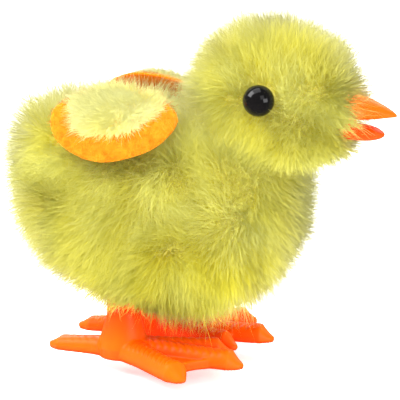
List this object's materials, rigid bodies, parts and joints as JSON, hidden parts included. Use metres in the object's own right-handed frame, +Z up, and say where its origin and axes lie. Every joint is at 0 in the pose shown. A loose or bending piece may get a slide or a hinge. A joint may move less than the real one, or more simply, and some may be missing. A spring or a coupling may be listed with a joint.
{
  "type": "wind-up hopping chicken",
  "caption": "Plush toy chick on orange webbed feet, with felt wings, bead eyes and an open beak; a side knob winds a clockwork crank that makes the feet hop.",
  "frame": {"origin": "on the ground plane, under the middle of the whole object's bounding box", "axes": "+X towards the beak, +Y to the chick's left where the winding knob is, +Z up"},
  "size_m": [0.0816, 0.0512, 0.0712],
  "materials": {
    "yellow_plush": "matte",
    "white_fibre_stuffing": "matte",
    "orange_felt": "matte",
    "black_bead": "gloss",
    "orange_plastic": "satin",
    "clear_washer_plastic": "satin",
    "yellow_shell_plastic": "satin",
    "white_case_plastic": "satin",
    "white_gear_plastic": "satin",
    "white_knob_plastic": "satin",
    "steel": "satin",
    "blued_spring_steel": "satin"
  },
  "bodies": {
    "body": {"plush_body": "yellow_plush", "plush_head": "yellow_plush", "head_stuffing": "white_fibre_stuffing", "wing_felt_right": "orange_felt", "wing_felt_left": "orange_felt", "wing_fur_right": "yellow_plush", "wing_fur_left": "yellow_plush", "eye_right": "black_bead", "eye_left": "black_bead", "eye_washer_right": "clear_washer_plastic", "eye_washer_left": "clear_washer_plastic", "beak": "orange_plastic", "beak_washer": "clear_washer_plastic", "body_shell_right": "yellow_shell_plastic", "body_shell_left": "yellow_shell_plastic", "shell_screw_rear": "steel", "shell_screw_front": "steel", "gearbox_case_right": "white_case_plastic", "gearbox_case_left": "white_case_plastic", "case_screw_lower": "steel", "case_screw_upper": "steel", "mainspring": "blued_spring_steel"},
    "winder": {"winding_knob": "white_knob_plastic", "winding_arbor": "steel", "ratchet_disc": "white_gear_plastic"},
    "main_drive": {"main_gear": "white_gear_plastic", "ratchet_click": "steel"},
    "intermediate": {"intermediate_axle": "steel", "intermediate_gear": "white_gear_plastic"},
    "crank": {"crank_shaft": "steel", "crank_pinion": "white_gear_plastic", "crank_disc_right": "white_gear_plastic", "crank_disc_left": "white_gear_plastic", "leg_screw_right": "steel", "leg_screw_left": "steel"},
    "foot_right": {"foot_right": "orange_plastic"},
    "foot_left": {"foot_left": "orange_plastic"}
  },
  "joints": [
    {"name": "knob_wind", "type": "hinge", "parent": "body", "child": "winder", "pos_m": [-0.0043, 0, 0.0283], "axis": [0, 1, 0], "range_deg": [0, 1080]},
    {"name": "crank_spin", "type": "hinge", "parent": "body", "child": "crank", "pos_m": [-0.01374, 0, 0.0185], "axis": [0, 1, 0], "continuous": true},
    {"name": "intermediate_spin", "type": "hinge", "parent": "body", "child": "intermediate", "pos_m": [-0.01552, 0, 0.02751], "axis": [0, 1, 0], "continuous": true},
    {"name": "main_gear_spin", "type": "hinge", "parent": "body", "child": "main_drive", "pos_m": [-0.0043, 0, 0.0283], "axis": [0, 1, 0], "continuous": true},
    {"name": "foot_right_hop", "type": "hinge", "parent": "crank", "child": "foot_right", "pos_m": [-0.01374, -0.01, 0.02], "axis": [0, 1, 0], "continuous": true},
    {"name": "foot_left_hop", "type": "hinge", "parent": "crank", "child": "foot_left", "pos_m": [-0.01374, 0.01, 0.02], "axis": [0, 1, 0], "continuous": true}
  ],
  "couplings": [
    {"joint": "intermediate_spin", "follows": "crank_spin", "ratio": -0.30769},
    {"joint": "main_gear_spin", "follows": "crank_spin", "ratio": 0.076923},
    {"joint": "foot_right_hop", "follows": "crank_spin", "ratio": -1},
    {"joint": "foot_left_hop", "follows": "crank_spin", "ratio": -1}
  ]
}
